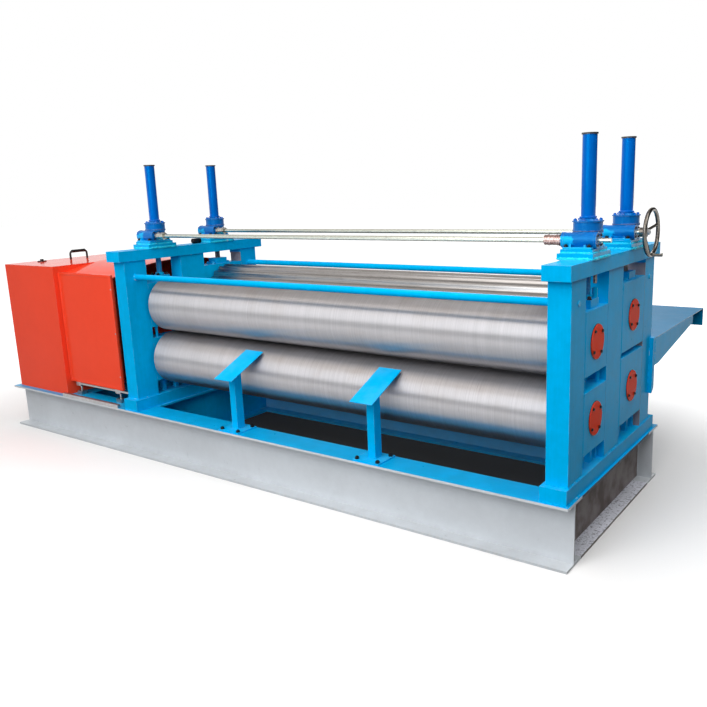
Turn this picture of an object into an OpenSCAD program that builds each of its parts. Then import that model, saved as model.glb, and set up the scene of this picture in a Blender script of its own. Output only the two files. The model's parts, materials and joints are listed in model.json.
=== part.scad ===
// Barrel type corrugated sheet roll forming machine.
// A plain roll pair feeds a fluted roll pair, both held in two roll stands on a long welded base.
// Lengths run along X (operator end at +X), depth along Y (outfeed at +Y), height along Z.

/* [Base] */
// Length of the base frame
base_len = 5765; // [5400:5:7200]
// Depth of the base frame, over its two long beams
base_depth = 1756; // [1740:2:2200]
// Height of the base beams
base_h = 400; // [320:5:480]
// Width of a base beam's flanges
flange_w = 220; // [140:5:260]
// Thickness of a base beam's flanges
flange_t = 16; // [10:1:24]
// Thickness of a base beam's web
web_t = 12; // [8:1:18]
// How far the base runs past the operator stand
base_over = 25; // [0:1:60]
// How far the base runs past the front of the posts
base_front = 56; // [54:1:90]

/* [Stands] */
// Thickness of a roll stand, along the rolls
stand_t = 136; // [110:1:170]
// Clear distance between the two stands
roll_span = 3700; // [3100:10:4440]
// Height of the posts
post_h = 1176; // [1170:2:1400]
// Depth of the front post
front_post_d = 215; // [160:1:260]
// Depth of the middle post
middle_post_d = 266; // [220:1:320]
// Depth of the rear post
rear_post_d = 200; // [150:1:240]
// Width of the window that holds the front chocks
front_window_w = 375; // [360:1:450]
// Width of the window that holds the rear chocks
rear_window_w = 462; // [440:1:550]
// Height of the foot beam under the posts
foot_h = 95; // [70:1:120]
// Height of the top beam over the posts
top_h = 86; // [70:1:110]
// How far the foot and top beams stand out past each side of the posts
beam_side = 16; // [5:1:30]
// How far the top beam runs past the front post
top_front = 53; // [20:1:54]
// How far the top beam runs past the rear post
top_rear = 75; // [20:1:120]
// How far the foot beam runs past the front post
foot_front = 40; // [20:1:54]
// How far the foot beam runs past the rear post
foot_rear = 102; // [60:1:180]

/* [Rolls] */
// Diameter of the two plain rolls
roll_d = 454; // [380:1:456]
// Diameter over the flutes of the two fluted rolls
flute_d = 453; // [400:1:456]
// Depth of a flute
flute_depth = 18; // [10:0.5:22]
// Number of flutes round a roll
flutes = 18; // [14:1:24]
// Clearance between a roll's end face and a stand
roll_side_gap = 32; // [10:1:40]
// Diameter of the roll journals
journal_d = 160; // [120:1:190]
// Height of the plain pair's nip line above the foot beams
front_nip_h = 542; // [535:1:560]
// Height of the fluted pair's nip line above the foot beams
rear_nip_h = 588; // [580:1:600]
// Distance between the plain rolls' axes
front_pitch = 467; // [462:1:480]
// Distance between the fluted rolls' axes, opened
rear_pitch = 479; // [474:1:490]

/* [Chocks] */
// Height of a front chock
front_chock_h = 380; // [340:1:400]
// Height of a rear chock
rear_chock_h = 450; // [400:1:456]
// How much higher an upper chock's middle is than its roll axis
upper_chock_rise = 8; // [0:1:12]
// How far a chock stands out past the outer face of its stand
chock_proud = 2; // [0:1:10]
// Chamfer along a chock's outer upright edges
chock_chamfer = 9; // [2:1:14]
// Sliding clearance each side of a chock in its window
chock_gap = 0.6; // [0.3:0.1:1]
// Running clearance round a journal
journal_gap = 0.08; // [0.02:0.01:0.1]
// Diameter of a bearing cover
cover_d = 206; // [190:1:260]
// Thickness of a bearing cover
cover_t = 8; // [5:1:30]

/* [Screw jacks] */
// Diameter of a lifting screw
screw_d = 45; // [40:1:66]
// Diameter of the tube that covers a lifting screw
tube_d = 82; // [80:1:110]
// Height of the tube's top above the top beam
tube_top_h = 693; // [600:1:800]
// Diameter of a jack's body
jack_d = 172; // [150:1:190]
// Height of the worm shaft above the top beam
worm_h = 104; // [100:1:120]
// Distance from a lifting screw's axis to its worm shaft's axis
worm_offset = 62; // [58:1:75]
// Diameter of a worm housing
worm_case_d = 90; // [80:1:96]
// Length of a worm housing
worm_case_len = 208; // [190:1:230]
// Diameter of the connecting shafts
shaft_d = 32; // [24:1:38]
// Diameter of the handwheel
handwheel_d = 310; // [250:5:400]

/* [Guards and tables] */
// Length of the drive cabinet
cabinet_len = 805; // [600:5:900]
// Height of the drive cabinet
cabinet_h = 1200; // [1160:5:1400]
// Depth of the drive cabinet
cabinet_d = 1500; // [1300:5:1600]
// Clearance between the coupling guard and the drive stand
guard_gap = 133; // [100:1:160]
// Sheet thickness of guards and tables
sheet_t = 6; // [3:0.5:8]
// Depth of the outfeed tray
tray_d = 1428; // [900:2:1700]
// Width of a feed support's plate
support_w = 182; // [150:1:240]

/* [Hidden] */
$fn = 64;
// small overlap that joins the pieces of one solid
eps = 1;
// how far the jacks' pads and worm housings sit off their screws, along the rolls
jack_shift = -18;

// levels
foot_z = base_h;
post_z = foot_z + foot_h;
top_z = post_z + post_h;
pad_z = top_z + top_h;
tube_top_z = pad_z + tube_top_h;
worm_z = pad_z + worm_h;
pad_h = 56;
pad_step_h = 34;
jack_base_z = pad_z + pad_h;
collar_z = pad_z + 142;
jack_body_z = pad_z + 212;
jack_top_z = pad_z + 226;

// depths
front_window_y = front_post_d;
middle_post_y = front_window_y + front_window_w;
rear_window_y = middle_post_y + middle_post_d;
rear_post_y = rear_window_y + rear_window_w;
stand_d = rear_post_y + rear_post_d;
front_y = front_window_y + front_window_w / 2;
rear_y = rear_window_y + rear_window_w / 2;
base_rear_y = base_depth - base_front;

// roll axes, front pair then rear pair
front_nip_z = post_z + front_nip_h;
rear_nip_z = post_z + rear_nip_h;
lower_front_z = front_nip_z - front_pitch / 2;
upper_front_z = front_nip_z + front_pitch / 2;
lower_rear_z = rear_nip_z - rear_pitch / 2;
upper_rear_z = rear_nip_z + rear_pitch / 2;

// lengths, from the operator stand's outer face
drive_in_x = -stand_t - roll_span;
drive_out_x = drive_in_x - stand_t;
operator_x = -stand_t / 2;
drive_x = drive_in_x - stand_t / 2;
stand_xs = [operator_x, drive_x];
base_x = base_over - base_len;
guard_x1 = drive_out_x - guard_gap;
cabinet_x0 = base_x + 40;
cabinet_x1 = cabinet_x0 + cabinet_len;
guard_x0 = cabinet_x1;
coupling_end_x = drive_out_x - 228;
coupling_len = 120;

// handwheel
wheel_x = 112;
hub_x = wheel_x - 48;
rim_d = 26;
grip_len = 74;
rim_r = handwheel_d / 2 - rim_d / 2;

// outfeed tray
tray_z = post_z + 595;
tray_y = stand_d + 13;
bar_x = 28;

// the whole machine stands on the origin, centred over its own box
x_max = wheel_x + grip_len;
y_max = tray_y + tray_d;
mid_x = (base_x + x_max) / 2;
mid_y = (y_max - base_front) / 2;

frame_blue = [0.0, 0.62, 0.88];
jack_blue = [0.0, 0.36, 0.78];
pad_blue = [0.1, 0.72, 0.92];
beam_grey = [0.78, 0.79, 0.8];
guard_red = [0.88, 0.22, 0.14];
cover_red = [0.75, 0.16, 0.08];
steel = [0.72, 0.73, 0.74];
dark_steel = [0.3, 0.3, 0.31];
black = [0.06, 0.06, 0.06];

module place() {
    translate([-mid_x, -mid_y, 0]) children();
}

// a cylinder along +X from x0 to x1
module bar_along_x(x0, x1, d) {
    translate([x0, 0, 0]) rotate([0, 90, 0]) cylinder(h = x1 - x0, d = d);
}

// ---------- base ----------

// wide flanged beam along +X, standing on Z = 0 with its web over Y = 0
module wide_beam(length) {
    for (z = [0, base_h - flange_t])
        translate([0, -flange_w / 2, z]) cube([length, flange_w, flange_t]);
    translate([0, -web_t / 2, flange_t / 2]) cube([length, web_t, base_h - flange_t]);
}

// the same beam along Y, fitted between the two long beams
module fitted_beam(x) {
    inner = base_depth - 2 * flange_w;
    webs = base_depth - flange_w - web_t;
    y0 = flange_w - base_front;
    for (z = [0, base_h - flange_t])
        translate([x - flange_w / 2, y0, z]) cube([flange_w, inner, flange_t]);
    translate([x - web_t / 2, y0, flange_t / 2]) cube([web_t, inner, base_h - flange_t]);
    translate([x - web_t / 2, (flange_w + web_t) / 2 - base_front, flange_t])
        cube([web_t, webs, base_h - 2 * flange_t]);
}

module base_front_beam() {
    color(beam_grey) place() translate([base_x, flange_w / 2 - base_front, 0]) wide_beam(base_len);
}

module base_rear_beam() {
    color(beam_grey) place() translate([base_x, base_rear_y - flange_w / 2, 0]) wide_beam(base_len);
}

module base_end_beams() {
    color(beam_grey) place() {
        fitted_beam(base_over - flange_w / 2);
        fitted_beam(base_x + flange_w / 2);
    }
}

module base_cross_beams() {
    color(frame_blue) place() {
        fitted_beam(drive_x);
        fitted_beam(cabinet_x1);
    }
}

// ---------- stands ----------

// the foot beam stands out further inside the stand than outside it
foot_in = 21;
foot_out = 9;

module foot_beam(x) {
    left = outward(x) > 0 ? foot_in : foot_out;
    translate([x - stand_t / 2 - left, -foot_front, foot_z])
        cube([stand_t + foot_in + foot_out, stand_d + foot_front + foot_rear, foot_h]);
}

// the top beam is bored through for the lifting screws
module top_beam(x) {
    difference() {
        translate([x - stand_t / 2 - beam_side, -top_front, top_z])
            cube([stand_t + 2 * beam_side, stand_d + top_front + top_rear, top_h]);
        for (y = [front_y, rear_y])
            translate([x, y, top_z - eps]) cylinder(h = top_h + 2 * eps, d = screw_d + 12);
    }
}

module posts(x) {
    translate([x - stand_t / 2, 0, post_z]) {
        cube([stand_t, front_post_d, post_h]);
        translate([0, middle_post_y, 0]) cube([stand_t, middle_post_d, post_h]);
        translate([0, rear_post_y, 0]) cube([stand_t, rear_post_d, post_h]);
    }
}

module stand_foot_beams() { color(frame_blue) place() for (x = stand_xs) foot_beam(x); }
module operator_posts() { color(frame_blue) place() posts(operator_x); }
module operator_top_beam() { color(frame_blue) place() top_beam(operator_x); }
module drive_posts() { color(frame_blue) place() posts(drive_x); }
module drive_top_beam() { color(frame_blue) place() top_beam(drive_x); }

// tie pipes brace the stands against each other
tie_d = 48;
tie_z = post_z + 1040;

module tie_pipes() {
    color(frame_blue) place() for (y = [front_post_d / 2, rear_post_y + rear_post_d / 2])
        translate([0, y, tie_z]) bar_along_x(drive_in_x, -stand_t, tie_d);
}

// ---------- chocks ----------

// which way a stand's outer face points: +1 at the operator end, -1 at the drive end
function outward(x) = x > drive_in_x ? 1 : -1;

// a chock fills its window's width, from the inner face to a little past the outer face,
// chamfered along its outer edges and bored for the journal at height z
module chock(x, y, z, w, h, rise) {
    side = w / 2 - chock_gap;
    out = stand_t / 2 + chock_proud;
    c = chock_chamfer;
    difference() {
        translate([x, y, z + rise - h / 2]) scale([outward(x), 1, 1]) linear_extrude(height = h)
            polygon([[-stand_t / 2, -side], [out - c, -side], [out, c - side],
                     [out, side - c], [out - c, side], [-stand_t / 2, side]]);
        translate([0, y, z]) bar_along_x(x - stand_t, x + stand_t, journal_d + 2 * journal_gap);
    }
}

// guide pins stand on the lower chocks and run in bores of the upper ones
pin_d = 24;
pin_gap = 1;
pin_rise = 210;
front_pin_y = 120;
rear_pin_y = 150;
pin_x = 36;

module chock_pins(x, y, z, dy) {
    for (side = [-1, 1]) for (end = [-1, 1])
        translate([x + end * pin_x, y + side * dy, z]) cylinder(h = pin_rise, d = pin_d);
}

module pin_bores(x, y, z, dy) {
    for (side = [-1, 1]) for (end = [-1, 1])
        translate([x + end * pin_x, y + side * dy, z - eps])
            cylinder(h = pin_rise + 40, d = pin_d + 2 * pin_gap);
}

module chock_guide_pins() {
    color(frame_blue) place() for (x = stand_xs) {
        chock_pins(x, front_y, lower_front_z + front_chock_h / 2, front_pin_y);
        chock_pins(x, rear_y, lower_rear_z + rear_chock_h / 2, rear_pin_y);
    }
}

module lower_front_chocks() {
    color(frame_blue) place() for (x = stand_xs)
        chock(x, front_y, lower_front_z, front_window_w, front_chock_h, 0);
}

module lower_rear_chocks() {
    color(frame_blue) place() for (x = stand_xs)
        chock(x, rear_y, lower_rear_z, rear_window_w, rear_chock_h, 0);
}

// a block on top of each upper chock holds its lifting screw
yoke_h = 52;
yoke_w = 104;
yoke_d = 130;

module yoke(x, y, z) {
    translate([x - yoke_w / 2, y - yoke_d / 2, z - eps]) cube([yoke_w, yoke_d, yoke_h + eps]);
}

module upper_front_chocks() {
    color(frame_blue) place() for (x = stand_xs) difference() {
        union() {
            chock(x, front_y, upper_front_z, front_window_w, front_chock_h, upper_chock_rise);
            yoke(x, front_y, front_chock_top);
        }
        pin_bores(x, front_y, upper_front_z + upper_chock_rise - front_chock_h / 2, front_pin_y);
    }
}

module upper_rear_chocks() {
    color(frame_blue) place() for (x = stand_xs) difference() {
        union() {
            chock(x, rear_y, upper_rear_z, rear_window_w, rear_chock_h, upper_chock_rise);
            yoke(x, rear_y, rear_chock_top);
        }
        pin_bores(x, rear_y, upper_rear_z + upper_chock_rise - rear_chock_h / 2, rear_pin_y);
    }
}

// square props carry the lower chocks on the foot beams
prop_w = 34;

module chock_props(x, y, z, w) {
    for (dy = [-0.44, -0.18, 0.18, 0.44])
        translate([x + outward(x) * 10 - prop_w / 2, y + dy * w - prop_w / 2, post_z])
            cube([prop_w, prop_w, z - post_z]);
}

module lower_chock_supports() {
    color(frame_blue) place() for (x = stand_xs) {
        chock_props(x, front_y, lower_front_z - front_chock_h / 2, front_window_w);
        chock_props(x, rear_y, lower_rear_z - rear_chock_h / 2, rear_window_w);
    }
}

// bearing covers: closed at the operator end, open for the journal at the drive end
module bearing_covers(y, z) {
    face = drive_out_x - chock_proud;
    translate([0, y, z]) {
        bar_along_x(chock_proud, chock_proud + cover_t, cover_d);
        difference() {
            bar_along_x(face - cover_t, face, cover_d);
            bar_along_x(face - 2 * cover_t, face + cover_t, journal_d + 4);
        }
    }
}

module lower_bearing_covers() {
    color(cover_red) place() {
        bearing_covers(front_y, lower_front_z);
        bearing_covers(rear_y, lower_rear_z);
    }
}

module upper_front_bearing_covers() { color(cover_red) place() bearing_covers(front_y, upper_front_z); }
module upper_rear_bearing_covers() { color(cover_red) place() bearing_covers(rear_y, upper_rear_z); }

// a lifting screw stands on its chock's block and reaches up into its cover tube
screw_rise = 330;
front_chock_top = upper_front_z + upper_chock_rise + front_chock_h / 2;
rear_chock_top = upper_rear_z + upper_chock_rise + rear_chock_h / 2;

module lifting_screw(x, y, z) {
    translate([x, y, z]) cylinder(h = pad_z + screw_rise - z, d = screw_d);
}

module front_lifting_screws() {
    color(frame_blue) place() for (x = stand_xs) lifting_screw(x, front_y, front_chock_top + yoke_h);
}

module rear_lifting_screws() {
    color(dark_steel) place() for (x = stand_xs) lifting_screw(x, rear_y, rear_chock_top + yoke_h);
}

// ---------- rolls ----------

barrel_x0 = drive_in_x + roll_side_gap;
barrel_x1 = -stand_t - roll_side_gap;

// journals stand on the barrel's ends and run in the chocks, with a coupling hub at the drive end
module journals(y, z) {
    translate([0, y, z]) {
        bar_along_x(barrel_x1, -4, journal_d);
        bar_along_x(coupling_end_x, barrel_x0, journal_d);
        bar_along_x(coupling_end_x, coupling_end_x + coupling_len, journal_d + 50);
    }
}

module plain_roll(y, z) {
    translate([0, y, z]) bar_along_x(barrel_x0, barrel_x1, roll_d);
}

// the flutes follow a cosine round the roll, with a crest at turn = 0 degrees
steps_per_flute = 10;
flute_steps = flutes * steps_per_flute;

function flute_point(i, turn) =
    let (a = 360 * i / flute_steps, r = flute_d / 2 - flute_depth / 2 * (1 - cos(flutes * (a - turn))))
    [r * cos(a), r * sin(a)];

module fluted_roll(y, z, crest) {
    translate([barrel_x0, y, z]) rotate([90, 0, 90])
        linear_extrude(height = barrel_x1 - barrel_x0)
            polygon([for (i = [0 : flute_steps - 1]) flute_point(i, crest)]);
}

module lower_front_roll() { color(steel) place() plain_roll(front_y, lower_front_z); }
module upper_front_roll() { color(steel) place() plain_roll(front_y, upper_front_z); }
// a valley of the lower roll faces a crest of the upper one
module lower_rear_roll() { color(steel) place() fluted_roll(rear_y, lower_rear_z, 90 + 180 / flutes); }
module upper_rear_roll() { color(steel) place() fluted_roll(rear_y, upper_rear_z, 270); }
module lower_front_journals() { color(steel) place() journals(front_y, lower_front_z); }
module upper_front_journals() { color(steel) place() journals(front_y, upper_front_z); }
module lower_rear_journals() { color(steel) place() journals(rear_y, lower_rear_z); }
module upper_rear_journals() { color(steel) place() journals(rear_y, upper_rear_z); }

// ---------- screw jacks ----------

jack_ys = [front_y, rear_y];

module jack_pads() {
    color(pad_blue) place() for (x = stand_xs) for (y = jack_ys) difference() {
        union() {
            translate([x + jack_shift - 106, y - 150, pad_z]) cube([212, 290, pad_step_h]);
            translate([x + jack_shift - 95, y - 128, pad_z + pad_step_h - eps])
                cube([190, 240, pad_h - pad_step_h + eps]);
        }
        translate([x, y, pad_z - eps]) cylinder(h = pad_h + 2 * eps, d = screw_d + 12);
    }
}

// end covers of a worm housing
worm_end_t = 14;

// worm gear case: round body, base flange, top cover and a worm housing beside it
module jack_housing(x, y) {
    difference() {
        union() {
            translate([x, y, jack_base_z]) cylinder(h = 14, d = jack_d);
            translate([x, y, jack_base_z]) cylinder(h = collar_z - jack_base_z + eps, d = jack_d - 14);
            translate([x, y, collar_z]) cylinder(h = 16, d = jack_d);
            translate([x, y, collar_z]) cylinder(h = jack_body_z - collar_z, d = jack_d - 6);
            translate([x, y, jack_body_z - 8]) cylinder(h = 8, d = jack_d + 6);
            translate([x, y, jack_body_z - eps])
                cylinder(h = jack_top_z - jack_body_z + eps, d1 = tube_d + 28, d2 = tube_d + 4);
            translate([x + jack_shift, y - worm_offset, worm_z]) {
                bar_along_x(-worm_case_len / 2, worm_case_len / 2, worm_case_d);
                for (end = [-worm_case_len / 2, worm_case_len / 2 - worm_end_t])
                    bar_along_x(end, end + worm_end_t, worm_case_d + 4);
            }
        }
        translate([x, y, jack_base_z - eps]) cylinder(h = jack_top_z, d = screw_d + 8);
        translate([x, y - worm_offset, worm_z]) bar_along_x(-worm_case_len, worm_case_len, shaft_d + 1);
    }
}

module jack_housings() {
    color(jack_blue) place() for (x = stand_xs) for (y = jack_ys) jack_housing(x, y);
}

cap_h = 9;

module screw_tubes() {
    color(jack_blue) place() for (x = stand_xs) for (y = jack_ys) difference() {
        translate([x, y, jack_top_z]) cylinder(h = tube_top_z - cap_h - jack_top_z, d = tube_d);
        translate([x, y, jack_top_z - eps]) cylinder(h = tube_top_z, d = screw_d + 10);
    }
}

module screw_tube_caps() {
    color(black) place() for (x = stand_xs) for (y = jack_ys)
        translate([x, y, tube_top_z - cap_h]) cylinder(h = cap_h, d = tube_d + 10);
}

// connecting shafts turn both jacks of a pair together, joined by sleeve couplings
sleeve_shaft_d = 58;

module connecting_shaft(y, end_x) {
    sleeve = 96;
    gap = 8;
    translate([0, y - worm_offset, worm_z]) {
        operator_end = operator_x + jack_shift - worm_case_len / 2 - gap;
        drive_end = drive_x + jack_shift + worm_case_len / 2 + gap;
        bar_along_x(drive_x + jack_shift - worm_case_len / 2 - 20, end_x, shaft_d);
        bar_along_x(operator_end - sleeve, operator_end, sleeve_shaft_d);
        bar_along_x(drive_end, drive_end + sleeve, sleeve_shaft_d);
    }
}

// the front shaft ends in a free stub of smaller diameter
stub_d = 25;
stub_len = 50;
stub_x = 40;

module front_connecting_shaft() {
    color(steel) place() {
        connecting_shaft(front_y, stub_x);
        translate([0, front_y - worm_offset, worm_z]) bar_along_x(stub_x - eps, stub_x + stub_len, stub_d);
    }
}
module rear_connecting_shaft() { color(steel) place() connecting_shaft(rear_y, hub_x + 24); }

// the handwheel's spokes slope from a hub near the housing out to the rim
module handwheel() {
    hub_d = 60;
    hub_len = 44;
    dish = atan((wheel_x - hub_x) / rim_r);
    color(dark_steel) place() translate([hub_x, rear_y - worm_offset, worm_z]) {
        difference() {
            union() {
                translate([wheel_x - hub_x, 0, 0]) rotate([0, 90, 0])
                    rotate_extrude() translate([rim_r, 0]) circle(d = rim_d);
                bar_along_x(-hub_len / 2, hub_len / 2, hub_d);
                for (a = [48, 168, 288]) rotate([a, 0, 0]) rotate([0, dish, 0])
                    cylinder(h = rim_r / cos(dish), d = 19);
            }
            bar_along_x(-hub_len, hub_len, shaft_d + 0.1);
        }
        translate([wheel_x - hub_x, 0, -rim_r]) {
            bar_along_x(0, grip_len, 14);
            bar_along_x(22, grip_len - 3, 19);
        }
    }
}

// ---------- feed supports and outfeed tray ----------

// a channel post on a bolted foot plate carries a sloping table plate
support_xs = [-1393, -2703];
plate_xs = [-1362, -2642];
plate_rise = 24;
plate_len = 383;
plate_y = -110;
plate_z = post_z + 343;
support_y = 32;
support_d = 74;
support_post_w = 60;

module feed_support(x, plate_x) {
    foot_t = 10;
    translate([x - 106, -46, base_h]) cube([212, 202, foot_t]);
    difference() {
        translate([x - support_post_w / 2, support_y, base_h + foot_t - eps])
            cube([support_post_w, support_d, plate_z - base_h + 120]);
        translate([x - support_post_w / 2 + 6, support_y + 7, base_h])
            cube([support_post_w - 12, support_d, plate_z - base_h + 200]);
        translate([x - support_w, plate_y, plate_z - sheet_t / 2]) rotate([plate_rise, 0, 0])
            cube([2 * support_w, 2 * plate_len, plate_len]);
    }
    translate([plate_x - support_w / 2, plate_y, plate_z - sheet_t]) rotate([plate_rise, 0, 0])
        cube([support_w, plate_len, sheet_t]);
}

module feed_supports() {
    color(frame_blue) place() for (i = [0, 1]) feed_support(support_xs[i], plate_xs[i]);
}

tray_x0 = drive_out_x - bar_x;
tray_w = bar_x - tray_x0;
lip_h = 150;
gusset_h = 195;

// a flat sheet with a lip folded down at the rear and ribs below
module outfeed_tray() {
    color(frame_blue) place() {
        translate([tray_x0, tray_y, tray_z - sheet_t]) cube([tray_w, tray_d, sheet_t]);
        translate([tray_x0, y_max - sheet_t, tray_z - lip_h]) cube([tray_w, sheet_t, lip_h - eps]);
        translate([tray_x0 + 3 * sheet_t, tray_y, tray_z - 60])
            cube([tray_w - 6 * sheet_t, sheet_t, 60 - eps]);
        for (i = [1 : 4])
            translate([tray_x0 + tray_w * i / 5 - 3, tray_y + sheet_t / 2, tray_z - 50])
                cube([6, tray_d - sheet_t, 50 - eps]);
    }
}

module tray_side_gussets() {
    gusset_len = tray_d * 0.75;
    color(frame_blue) place() for (x = [tray_x0 + sheet_t, bar_x])
        translate([x, tray_y, tray_z - sheet_t]) rotate([90, 0, -90]) mirror([1, 0, 0])
            linear_extrude(height = sheet_t)
                polygon([[0, 0], [gusset_len, 0], [gusset_len, -60], [100, -gusset_h], [0, -gusset_h]]);
}

// upright bars on the rear posts' outer faces, cut at a slant below
module tray_mounting_bars() {
    bar_w = 46;
    bar_h = 402;
    color(frame_blue) place() for (x = [0, tray_x0])
        translate([x, tray_y - bar_w, tray_z + 5 - bar_h]) rotate([90, 0, 90])
            linear_extrude(height = bar_x) polygon([[0, 0], [bar_w, 34], [bar_w, bar_h], [0, bar_h]]);
}

// ---------- drive cabinet and guards ----------

module drive_cabinet() {
    color(guard_red) place() translate([cabinet_x0, 0, base_h]) cube([cabinet_len, cabinet_d, cabinet_h]);
}

// a loop handle of bent round bar, and a small cable gland, on the cabinet's top
module cabinet_top_fittings() {
    bar = 20;
    span = 185;
    rise = 80;
    bend = 28;
    color(black) place() translate([cabinet_x0, 0, base_h + cabinet_h]) {
        translate([234, 648, 0]) {
            for (side = [0, 1]) mirror([0, side, 0]) {
                translate([0, span / 2, 0]) cylinder(h = rise - bend, d = bar);
                translate([0, span / 2 - bend, rise - bend]) rotate([90, 0, 90])
                    rotate_extrude(angle = 90) translate([bend, 0]) circle(d = bar);
            }
            translate([0, 0, rise]) rotate([90, 0, 0])
                cylinder(h = span - 2 * bend, d = bar, center = true);
        }
        translate([129, 307, 0]) {
            cylinder(h = 8, d = 84);
            cylinder(h = 24, d = 34);
        }
    }
}

guard_z = base_h + 132;
guard_y = 62;
guard_d = cabinet_d - guard_y - 20;
guard_wall_h = 988;
guard_crown = 100;

// outline of the guard across the rolls: two walls under an arched roof
module guard_outline(inset) {
    half = guard_d / 2 - inset;
    crown = guard_crown;
    radius = (half * half + crown * crown) / (2 * crown);
    intersection() {
        translate([-half, 0]) square([2 * half, guard_wall_h + crown]);
        translate([0, guard_wall_h + crown - radius - inset]) circle(r = radius, $fn = 180);
    }
}

module coupling_guard() {
    length = guard_x1 - guard_x0;
    color(guard_red) place() translate([guard_x0, guard_y + guard_d / 2, guard_z]) rotate([90, 0, 90])
        difference() {
            linear_extrude(height = length) guard_outline(0);
            translate([0, -eps, -eps]) linear_extrude(height = length + 2 * eps) guard_outline(sheet_t);
        }
}

// the front panel is a folded tray with a rim round it
module guard_door() {
    door_t = 18;
    door_w = guard_x1 - guard_x0 - 6;
    door_h = guard_wall_h + 30;
    color(guard_red) place() translate([guard_x0 + 6, guard_y - door_t, guard_z - 4])
        cube([door_w, door_t, door_h]);
}

// blocks and short legs carry the guard on the long beams, under a bar along each wall
foot_w = 70;
foot_d = 56;
foot_block_h = 34;
foot_top_h = 48;

// reach: how much longer the lower block is, towards the rear
module guard_foot(x, y, reach) {
    translate([x - foot_w / 2, y, base_h]) {
        cube([foot_w, foot_d + reach, foot_block_h]);
        translate([foot_w / 2, foot_d / 2, foot_block_h - eps])
            cylinder(h = guard_z - base_h - foot_block_h - foot_top_h + 2 * eps, d = 18);
        translate([0, 0, guard_z - base_h - foot_top_h]) cube([foot_w, foot_d, foot_top_h]);
    }
}

module guard_base_frame() {
    rail = 30;
    bar = 16;
    length = guard_x1 - guard_x0;
    color(steel) place() {
        for (x = [guard_x0 + 92, guard_x1 - 105]) {
            guard_foot(x, guard_y, 0);
            guard_foot(x, guard_y + guard_d - foot_d, 80);
        }
        for (y = [guard_y, guard_y + guard_d - bar])
            translate([guard_x0 + 50, y, guard_z - 2 * bar]) cube([length, bar, bar]);
        translate([guard_x0, -base_front, base_h]) cube([length + 40, rail, rail]);
    }
}

base_front_beam();
base_rear_beam();
base_end_beams();
base_cross_beams();
stand_foot_beams();
operator_posts();
operator_top_beam();
drive_posts();
drive_top_beam();
tie_pipes();
lower_chock_supports();
chock_guide_pins();
lower_front_chocks();
lower_rear_chocks();
lower_bearing_covers();
upper_front_chocks();
upper_front_bearing_covers();
front_lifting_screws();
upper_rear_chocks();
upper_rear_bearing_covers();
rear_lifting_screws();
lower_front_roll();
upper_front_roll();
lower_rear_roll();
upper_rear_roll();
lower_front_journals();
upper_front_journals();
lower_rear_journals();
upper_rear_journals();
jack_pads();
jack_housings();
screw_tubes();
screw_tube_caps();
front_connecting_shaft();
rear_connecting_shaft();
handwheel();
feed_supports();
outfeed_tray();
tray_side_gussets();
tray_mounting_bars();
drive_cabinet();
cabinet_top_fittings();
coupling_guard();
guard_door();
guard_base_frame();
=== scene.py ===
"""Corrugated sheet roll forming machine: paint and metal, bolts, welds and other small parts,
floor, light and camera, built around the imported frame. Lengths in metres unless a name says mm."""
import json
import math
import random

import bmesh
import bpy
from mathutils import Matrix, Vector


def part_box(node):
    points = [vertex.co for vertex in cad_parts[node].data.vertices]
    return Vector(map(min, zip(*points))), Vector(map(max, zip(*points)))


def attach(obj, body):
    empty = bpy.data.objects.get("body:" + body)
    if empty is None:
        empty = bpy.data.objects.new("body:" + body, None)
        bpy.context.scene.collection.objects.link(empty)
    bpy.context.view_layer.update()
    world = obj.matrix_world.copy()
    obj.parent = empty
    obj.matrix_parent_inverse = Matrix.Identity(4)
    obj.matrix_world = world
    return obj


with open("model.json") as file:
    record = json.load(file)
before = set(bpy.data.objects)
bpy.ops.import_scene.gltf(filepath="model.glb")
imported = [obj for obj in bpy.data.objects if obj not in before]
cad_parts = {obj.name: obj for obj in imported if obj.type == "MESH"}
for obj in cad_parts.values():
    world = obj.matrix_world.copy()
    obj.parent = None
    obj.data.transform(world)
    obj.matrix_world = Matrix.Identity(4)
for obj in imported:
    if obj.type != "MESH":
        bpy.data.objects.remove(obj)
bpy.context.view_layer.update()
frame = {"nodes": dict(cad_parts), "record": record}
nodes = frame["nodes"]
rng = random.Random(7)

# ---------- places, taken from the frame's boxes ----------

MM = 0.001
UP = (0, 0, 1)
post_lo, post_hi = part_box("operator_posts")
drive_lo, drive_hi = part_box("drive_posts")
beam_lo, beam_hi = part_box("operator_top_beam")
foot_lo, foot_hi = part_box("stand_foot_beams")
base_lo, base_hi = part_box("base_front_beam")
rear_lo, rear_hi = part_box("base_rear_beam")
cab_lo, cab_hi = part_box("drive_cabinet")
guard_lo, guard_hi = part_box("coupling_guard")
door_lo, door_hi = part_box("guard_door")
tray_lo, tray_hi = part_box("outfeed_tray")
cover_lo, cover_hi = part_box("lower_bearing_covers")
upper_cover_lo, upper_cover_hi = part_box("upper_front_bearing_covers")
house_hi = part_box("jack_housings")[1]


def at(x, y, z):
    """A point given in mm from the operator stand's outer face, the posts' front face and the floor."""
    return Vector((post_hi.x + x * MM, post_lo.y + y * MM, z * MM))


# the two roll stands: operator side (+X) and drive side (-X)
STAND_X = {"op": (post_lo.x + post_hi.x) / 2, "dr": (drive_lo.x + drive_hi.x) / 2}
OUT = {"op": 1, "dr": -1}
COVER_X = {"op": cover_hi.x, "dr": cover_lo.x}


def mid(node, axis):
    """The middle of a node's box along one axis."""
    lo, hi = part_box(node)
    return (lo[axis] + hi[axis]) / 2


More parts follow.
